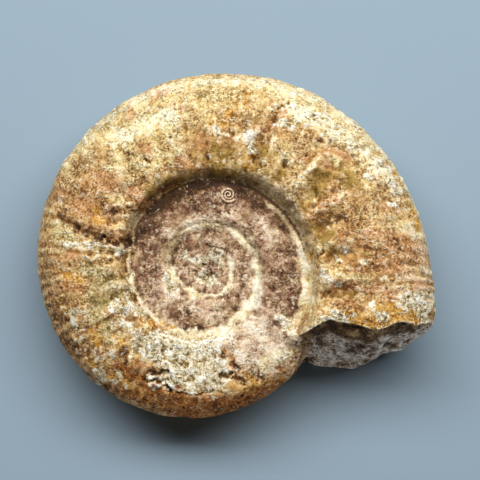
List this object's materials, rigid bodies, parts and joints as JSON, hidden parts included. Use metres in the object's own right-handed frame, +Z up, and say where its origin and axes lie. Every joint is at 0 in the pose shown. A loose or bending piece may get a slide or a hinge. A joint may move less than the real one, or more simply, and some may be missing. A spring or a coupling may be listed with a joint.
{
  "type": "fossil ammonite",
  "caption": "Coiled ribbed fossil shell, broken across its last whorl, lying on its flank, with a tiny coiled worm tube grown in its umbilicus.",
  "frame": {"origin": "centre of the bounding box on the surface that the fossil lies on", "axes": "+Z up, out of the upper flank; +X along the longest side, towards the broken end; +Y away from the break's face"},
  "size_m": [0.1012, 0.0886, 0.0286],
  "materials": {
    "ochre_limestone": "rough, crusted and pitted, ochre with cream flakes",
    "limy_tube": "matt, pinkish white"
  },
  "bodies": {
    "root": {"ammonite": "ochre_limestone", "worm_tube": "limy_tube"}
  },
  "joints": []
}
